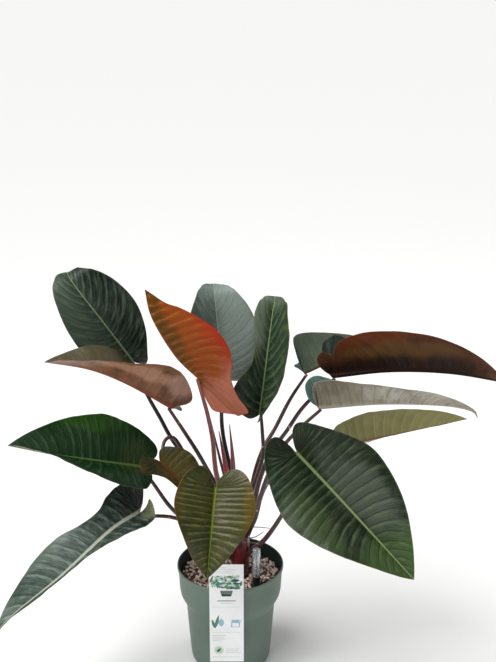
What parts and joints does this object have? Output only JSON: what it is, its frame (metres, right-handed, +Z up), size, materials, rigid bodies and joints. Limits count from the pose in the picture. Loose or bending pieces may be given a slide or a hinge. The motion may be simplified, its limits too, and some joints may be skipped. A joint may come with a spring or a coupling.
{
  "type": "potted philodendron",
  "caption": "Climbing foliage plant with large glossy heart-shaped leaves on long stalks, in a round stepped plastic pot with granular bed, care card and water gauge.",
  "frame": {"origin": "centre of the pot's flat underside", "axes": "+Z up along the pot's axis, front (the card's side) towards -Y, +X to the right seen from the front"},
  "size_m": [0.7895, 0.4167, 0.6812],
  "materials": {
    "pot_plastic": "matte grey-green moulded plastic, darker inside",
    "bed_granules": "rough clay and pumice granules, pinkish beige with dark brown ones",
    "stem_skin": "glossy wine-red sheathed stem",
    "card_plastic": "thin white printed plastic card",
    "gauge_body_plastic": "dark green-black plastic",
    "gauge_tube_clear": "clear plastic tube",
    "gauge_indicator_plastic": "grey plastic rod",
    "leaf_top_left": "dark green, grey sheen on the left half",
    "leaf_copper_left": "copper-brown underside, olive and brown upper side",
    "leaf_new_red": "glossy orange-red, olive towards the left edge",
    "leaf_back_grey": "grey-green with fine light veins",
    "leaf_top_centre": "dark green with grey-green vein stripes",
    "leaf_right_back": "grey-green",
    "leaf_right_brown": "maroon-brown underside",
    "leaf_right_silver": "silver-grey underside, teal upper side",
    "leaf_right_olive": "olive underside with light veins",
    "leaf_front_right": "glossy dark green with a grey-violet sheen",
    "leaf_front_centre": "glossy bronze-olive",
    "leaf_left_long": "deep green, silvery at the tip",
    "leaf_small_olive": "olive-brown",
    "leaf_lower_left": "teal-grey with lighter stripes",
    "stalk_dark": "glossy near-black purple",
    "stalk_plum": "dark plum with reddish streaks",
    "stalk_brick": "brick red",
    "sheath_red": "glossy crimson young sheath",
    "sheath_mauve": "mauve-red young sheath",
    "root_dark": "dry dark aerial root",
    "root_pale": "dry pale aerial root"
  },
  "bodies": {
    "root": {"pot": "pot_plastic", "bed": "bed_granules", "stem": "stem_skin", "card": "card_plastic", "gauge_body": "gauge_body_plastic", "gauge_tube": "gauge_tube_clear", "gauge_indicator": "gauge_indicator_plastic", "leaf_top_left": "leaf_top_left", "leaf_copper_left": "leaf_copper_left", "leaf_new_red": "leaf_new_red", "leaf_back_grey": "leaf_back_grey", "leaf_top_centre": "leaf_top_centre", "leaf_right_back": "leaf_right_back", "leaf_right_brown": "leaf_right_brown", "leaf_right_silver": "leaf_right_silver", "leaf_right_olive": "leaf_right_olive", "leaf_front_right": "leaf_front_right", "leaf_front_centre": "leaf_front_centre", "leaf_left_long": "leaf_left_long", "leaf_small_olive": "leaf_small_olive", "leaf_lower_left": "leaf_lower_left", "stalk_top_left": "stalk_dark", "stalk_copper_left": "stalk_plum", "stalk_new_red": "stalk_brick", "stalk_back_grey": "stalk_dark", "stalk_top_centre": "stalk_plum", "stalk_right_back": "stalk_plum", "stalk_right_brown": "stalk_plum", "stalk_right_silver": "stalk_plum", "stalk_right_olive": "stalk_plum", "stalk_front_right": "stalk_plum", "stalk_front_centre": "stalk_plum", "stalk_left_long": "stalk_plum", "stalk_small_olive": "stalk_plum", "stalk_lower_left": "stalk_plum", "sheath_crimson": "sheath_red", "sheath_mauve": "sheath_mauve", "sheath_thin": "stalk_plum", "aerial_root_1": "root_dark", "aerial_root_2": "root_dark", "aerial_root_3": "root_pale"}
  },
  "joints": []
}
